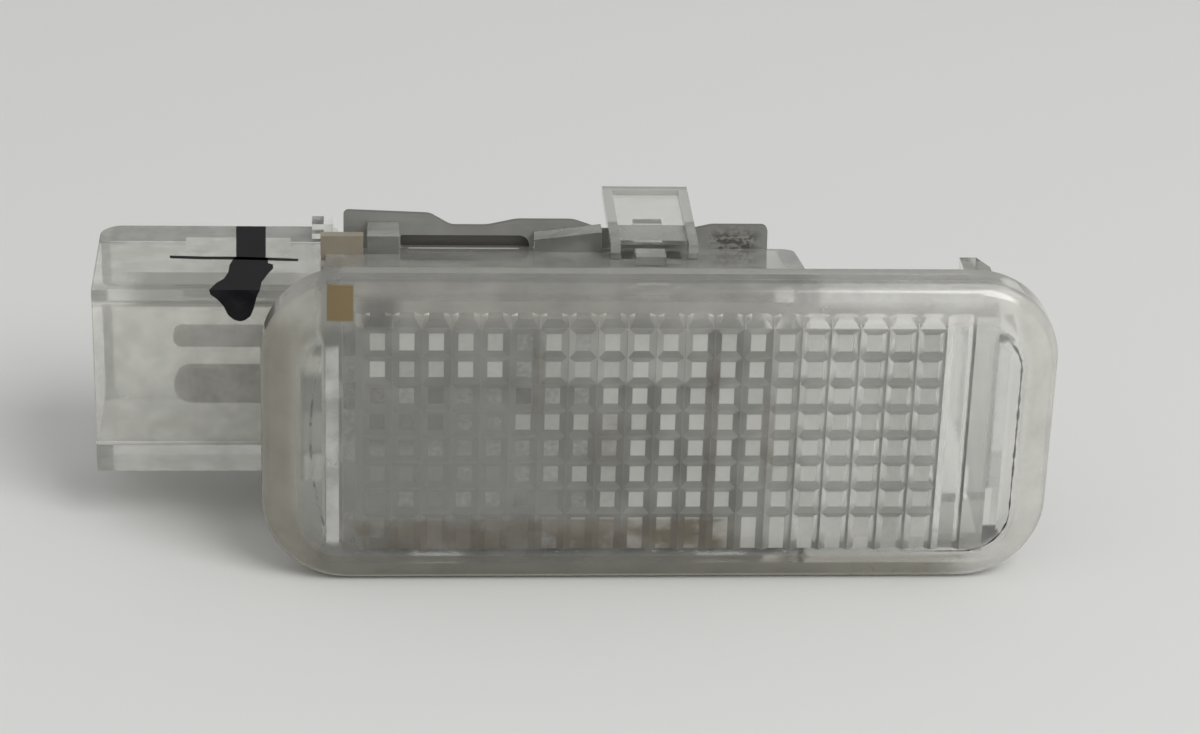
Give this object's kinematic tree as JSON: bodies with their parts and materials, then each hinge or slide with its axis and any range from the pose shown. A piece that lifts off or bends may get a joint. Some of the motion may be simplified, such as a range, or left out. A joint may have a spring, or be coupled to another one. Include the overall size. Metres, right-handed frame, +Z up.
{
  "type": "courtesy light",
  "caption": "Clear snap-in courtesy light for a car interior: prismatic window in a rounded flange, plug socket at one end, snap leg at the other, metal reflector behind a wedge bulb.",
  "frame": {"origin": "centre of the flange's rear face, in the plane that rests on the trim panel", "axes": "+X along the light from the plug socket to the snap leg, +Y from the window into the panel, +Z up across the flange"},
  "size_m": [0.0705, 0.0254, 0.024],
  "materials": {
    "clear_plastic": "clear, slightly hazed and scuffed",
    "sheet_metal": "dull grey sheet with rust spots",
    "terminal_brass": "tarnished, thinly tinned",
    "bulb_glass": "clear",
    "lead_wire": "drawn wire",
    "filament_wire": "dark coiled wire"
  },
  "bodies": {
    "root": {"lens_housing": "clear_plastic", "reflector_plate": "sheet_metal", "feed_terminal": "terminal_brass", "earth_terminal": "terminal_brass", "bulb_glass": "bulb_glass", "bulb_feed_lead": "lead_wire", "bulb_earth_lead": "lead_wire", "bulb_filament": "filament_wire"}
  },
  "joints": []
}
